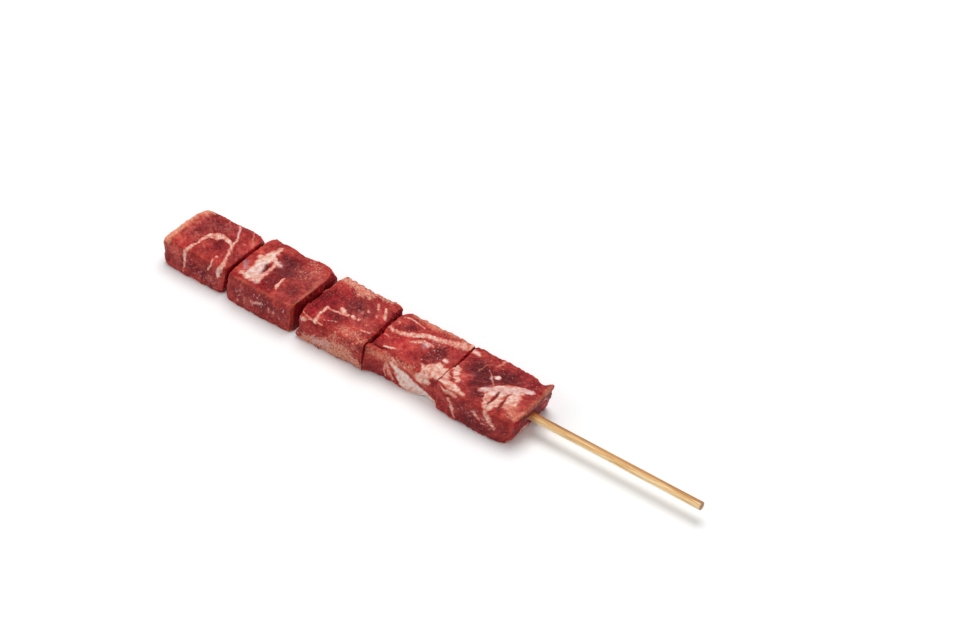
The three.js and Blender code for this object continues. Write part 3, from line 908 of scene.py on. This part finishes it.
class Nodes:
    """Short ways to add and link the nodes of one material."""

    def __init__(self, name):
        self.material = bpy.data.materials.new(name)
        self.material.use_nodes = True
        self.tree = self.material.node_tree
        self.shader = self.tree.nodes["Principled BSDF"]

    def put(self, socket, value):
        """Sets a socket to a plain value, or links it to another node's output."""
        if hasattr(value, "links"):
            self.tree.links.new(value, socket)
        else:
            socket.default_value = value

    def add(self, kind, inputs=None, **settings):
        """A new node with these settings, and with its inputs set or linked by name or number."""
        node = self.tree.nodes.new(kind)
        for key, value in settings.items():
            setattr(node, key, value)
        for key, value in (inputs or {}).items():
            self.put(node.inputs[key], value)
        return node

    def surface(self, name, value):
        """Sets or links one input of the shader."""
        self.put(self.shader.inputs[name], value)

    def attribute(self, name, output="Fac"):
        """A mark that is stored on the mesh's points."""
        return self.add("ShaderNodeAttribute", attribute_name=name).outputs[output]

    def math(self, operation, a, b=0.0, clamp=False):
        node = self.add("ShaderNodeMath", {0: a, 1: b}, operation=operation, use_clamp=clamp)
        return node.outputs[0]

    def step(self, value, low, high, to_low=0.0, to_high=1.0):
        """A smooth change from to_low to to_high as the value goes from low to high."""
        inputs = {"Value": value, "From Min": low, "From Max": high, "To Min": to_low, "To Max": to_high}
        node = self.add("ShaderNodeMapRange", inputs, interpolation_type="SMOOTHSTEP")
        return node.outputs["Result"]

    def noise(self, vector, scale, detail=3.0, roughness=0.55, distortion=0.0):
        inputs = {"Vector": vector, "Scale": scale, "Detail": detail, "Roughness": roughness}
        inputs["Distortion"] = distortion
        return self.add("ShaderNodeTexNoise", inputs).outputs["Fac"]

    def ramp(self, value, stops):
        """Turns a value into a colour between the stops (place, (red, green, blue))."""
        node = self.add("ShaderNodeValToRGB", {"Fac": value})
        elements = node.color_ramp.elements
        while len(elements) < len(stops):
            elements.new(0.5)
        for element, (place, colour) in zip(elements, stops):
            element.position = place
            element.color = srgb(*colour)
        return node.outputs["Color"]

    def mix(self, factor, a, b):
        inputs = {"Factor": factor, "A": a, "B": b}
        return self.add("ShaderNodeMix", inputs, data_type="RGBA").outputs["Result"]

    def scaled(self, vector, factors):
        return self.add("ShaderNodeVectorMath", {0: vector, 1: factors}, operation="MULTIPLY").outputs[0]

    def centred(self, value, gain):
        """A noise value moved to lie about 0, and then scaled."""
        return self.math("MULTIPLY", self.math("SUBTRACT", value, 0.5), gain)

    def total(self, *values):
        """The sum of any number of values."""
        first, *others = values
        for value in others:
            first = self.math("ADD", first, value)
        return first

    def tint(self, base, name, strength, colour, clamp=False):
        """Mixes a colour over the base by the mark of this name."""
        return self.mix(self.math("MULTIPLY", self.attribute(name), strength, clamp), base, colour)

    def object_millimetres(self, factors=(1, 1, 1)):
        """The object's own coordinates in millimetres, scaled by these factors."""
        coordinates = self.add("ShaderNodeTexCoord").outputs["Object"]
        return self.scaled(coordinates, [factor / M_PER_MM for factor in factors])

    def bump(self, height, strength, distance, normal=None):
        """Fine relief, on top of another relief where its normal is given."""
        inputs = {"Strength": strength, "Distance": distance, "Height": height}
        if normal is not None:
            inputs["Normal"] = normal
        return self.add("ShaderNodeBump", inputs).outputs["Normal"]


# ---- Materials ---------------------------------------------------------------------------------

LEAN_COLOURS = [
    (0.08, (92, 6, 13)),
    (0.28, (116, 16, 22)),
    (0.47, (149, 37, 36)),
    (0.64, (178, 60, 52)),
    (0.82, (202, 90, 74)),
    (1.00, (218, 130, 108)),
]
BROWN_COLOURS = [
    (0.10, (76, 10, 18)),
    (0.30, (99, 21, 27)),
    (0.50, (126, 41, 43)),
    (0.70, (160, 82, 76)),
    (0.95, (200, 136, 120)),
]
CRIMSON_COLOURS = [
    (0.10, (88, 2, 14)),
    (0.30, (126, 6, 22)),
    (0.50, (160, 22, 33)),
    (0.70, (188, 52, 52)),
    (0.95, (212, 104, 92)),
]
TAN_COLOURS = [
    (0.3, (178, 98, 80)),
    (0.5, (206, 138, 114)),
    (0.7, (222, 172, 150)),
]
FAT_COLOURS = [
    (0.16, (186, 92, 78)),
    (0.36, (208, 136, 118)),
    (0.52, (219, 166, 149)),
    (0.72, (227, 196, 183)),
    (1.00, (234, 218, 212)),
]
# painted glow of the edges, where light would shine through the meat
EDGE_GLOW_ORANGE = srgb(206, 92, 62)
FLECK_PINK = srgb(218, 136, 112)
FROST_WHITE = srgb(222, 190, 188)
FRINGE_ORANGE = srgb(204, 88, 66)
# painted highlight along the lit edges
LIT_RIM_SALMON = srgb(232, 154, 122)
VEIL_SILVER = srgb(206, 186, 192)
# painted shade, for the grooves, the pits and the shadow round the stick
PAINTED_SHADE_RED = srgb(84, 14, 20)
BUMP_DEPTH = 0.0002  # metres


def lean_colour(n, fibre, strands, place):
    """Red meat: clouds and grain from dark to light, in three hues, with fine pink flecks."""
    coarse = n.noise(fibre, 0.6, detail=2)
    grain = n.noise(strands, 1.1, detail=2, roughness=0.45)
    clouds = n.noise(place, 0.22, detail=2)
    tone = n.math("MULTIPLY", n.attribute("tone"), 0.5)
    level = n.total(n.centred(coarse, 0.62), n.centred(grain, 0.22), n.centred(clouds, 0.6), tone, 0.5)
    lean = n.ramp(level, LEAN_COLOURS)
    lean = n.tint(lean, "crimson", 0.9, n.ramp(level, CRIMSON_COLOURS))
    lean = n.tint(lean, "brown", 0.85, n.ramp(level, BROWN_COLOURS))
    # Painted glow: the edges turn orange where light would shine through the meat.
    lean = n.tint(lean, "edge", 0.8, EDGE_GLOW_ORANGE, clamp=True)
    flecks = n.noise(strands, 0.9, detail=3, roughness=0.55, distortion=0.4)
    return n.mix(n.step(flecks, 0.56, 0.80, 0, 0.26), lean, FLECK_PINK)


def dry_and_frosted(n, lean, fibre, streaks, border):
    """Lays the dry tan surface and the small pale specks over the lean meat."""
    dry = n.total(n.attribute("pale"), n.centred(streaks, 1.8), n.centred(border, 1.7))
    lean = n.mix(n.step(dry, 0.15, 0.95, 0, 0.9), lean, n.ramp(border, TAN_COLOURS))
    specks = n.noise(n.scaled(fibre, (1.5, 1, 1)), 0.85, detail=2, roughness=0.5)
    frost = n.math("MULTIPLY", n.step(specks, 0.60, 0.68), n.attribute("frost"))
    return n.mix(n.math("MULTIPLY", frost, 0.85), lean, FROST_WHITE)


def with_fat(n, lean, fibre, streaks, border):
    """Lays the fat over the lean meat, with an orange fringe round it."""
    amount = n.attribute("fat")
    cover = n.total(amount, n.centred(streaks, 1.1), n.centred(border, 0.5))
    extra = n.math("MAXIMUM", n.math("SUBTRACT", amount, 1.0), 0.0)
    whiter = n.math("MULTIPLY", extra, 0.8)
    clots = n.noise(fibre, 0.55, detail=4, roughness=0.55)
    fat = n.ramp(n.total(n.centred(clots, 1.7), whiter, 0.5), FAT_COLOURS)
    fringe = n.mix(n.step(cover, 0.05, 0.55, 0, 0.7), lean, FRINGE_ORANGE)
    return n.mix(n.step(cover, 0.20, 1.0), fringe, fat)


def beef_surface(n, strands, place):
    """Patches of more and less gloss, fine relief, and the softness of light within the meat."""
    wet = n.noise(place, 0.6, detail=3)
    n.surface("Roughness", n.step(wet, 0.3, 0.7, 0.4, 0.62))
    fine = n.noise(strands, 3.2, detail=5, roughness=0.7)
    crumb = n.noise(place, 2.6, detail=4, roughness=0.6)
    n.surface("Normal", n.bump(crumb, 0.1, BUMP_DEPTH, n.bump(fine, 0.16, BUMP_DEPTH)))
    n.surface("Specular IOR Level", 0.09)
    n.surface("Coat Weight", 0.05)
    n.surface("Coat Roughness", 0.28)
    n.surface("Subsurface Weight", 0.18)
    n.surface("Subsurface Radius", (1.0, 0.32, 0.2))
    n.surface("Subsurface Scale", 0.0016)


def beef_material():
    """Raw beef, coloured by the marks that are stored on each chunk's points."""
    n = Nodes("raw_beef")
    fibre = n.attribute("fibre", "Vector")
    strands = n.scaled(fibre, (0.4, 1, 1))
    place = n.object_millimetres()
    streaks = n.noise(fibre, 1.1, detail=4, roughness=0.7)
    border = n.noise(place, 1.3, detail=3, roughness=0.6)
    lean = lean_colour(n, fibre, strands, place)
    lean = dry_and_frosted(n, lean, fibre, streaks, border)
    colour = with_fat(n, lean, fibre, streaks, border)
    # Painted highlight: a salmon band where the edges catch the light and glow through, broken up by the
    # streaks.
    rim = n.math("MULTIPLY", n.attribute("rim"), n.step(streaks, 0.35, 0.62, 0.45, 0.88))
    colour = n.mix(rim, colour, LIT_RIM_SALMON)
    colour = n.tint(colour, "veil", 0.5, VEIL_SILVER)
    # Painted shade: darkens the grooves and pits, and paints the shadow round the stick on the ends.
    colour = n.tint(colour, "groove_shade", 0.8, PAINTED_SHADE_RED, clamp=True)
    n.surface("Base Color", colour)
    beef_surface(n, strands, place)
    return n.material


HEARTWOOD_COLOURS = [
    (0.15, (198, 140, 80)),
    (0.38, (234, 188, 126)),
    (0.58, (248, 212, 156)),
    (0.85, (255, 238, 204)),
]
BARK_COLOURS = [
    (0.20, (92, 48, 18)),
    (0.45, (142, 80, 34)),
    (0.80, (198, 138, 76)),
]
SAWN_COLOURS = [(0.35, (140, 98, 70)), (0.6, (200, 162, 128))]
# painted light on the stick's near and lower side
UNDERSIDE_LIGHT_CREAM = srgb(255, 242, 216)
SOAKED_BROWN = srgb(194, 104, 40)
BAMBOO_BUMP_DEPTH = 0.0001  # metres


def bamboo_material():
    """Pale bamboo with long fibres, browner on the side of the bark and where it meets the meat."""
    n = Nodes("bamboo")
    place = n.object_millimetres((0.028, 1, 1))
    streaks = n.noise(place, 0.8, detail=4, roughness=0.6)
    hairs = n.noise(place, 2.6, detail=4, roughness=0.7)
    level = n.math("ADD", streaks, n.math("MULTIPLY", hairs, 1.2))
    level = n.math("ADD", n.math("MULTIPLY", n.math("SUBTRACT", level, 1.1), 1.6), 0.5)
    # Painted light: the near and lower side is made paler, for light thrown up from below.
    colour = n.tint(n.ramp(level, HEARTWOOD_COLOURS), "lit_underside", 0.7, UNDERSIDE_LIGHT_CREAM)
    bark = n.total(n.attribute("bark"), n.centred(streaks, 0.9))
    colour = n.mix(n.step(bark, 0.0, 1.0), colour, n.ramp(level, BARK_COLOURS))
    colour = n.tint(colour, "soaked", 0.7, SOAKED_BROWN)
    pores = n.noise(n.object_millimetres(), 4.5, detail=2)
    colour = n.mix(n.attribute("sawn"), colour, n.ramp(pores, SAWN_COLOURS))
    n.surface("Base Color", colour)
    n.surface("Roughness", n.step(hairs, 0.3, 0.7, 0.38, 0.58))
    n.surface("Normal", n.bump(hairs, 0.4, BAMBOO_BUMP_DEPTH))
    n.surface("Specular IOR Level", 0.15)
    return n.material


# ---- The kebab ---------------------------------------------------------------------------------


SEEDS_PER_CHUNK = 100  # keeps the noise of one chunk apart from the next

add_camera()
add_floor()
add_studio_light()
beef = beef_material()
blocks = {node: fine_copy(node) for node in CHUNKS}
seams = meeting_planes(blocks)
for number, (node, spec) in enumerate(CHUNKS.items()):
    chunk = make_chunk(node, spec, SEEDS_PER_CHUNK * (number + 1), blocks[node], seams[node])
    chunk.data.materials.append(beef)
make_stick().data.materials.append(bamboo_material())
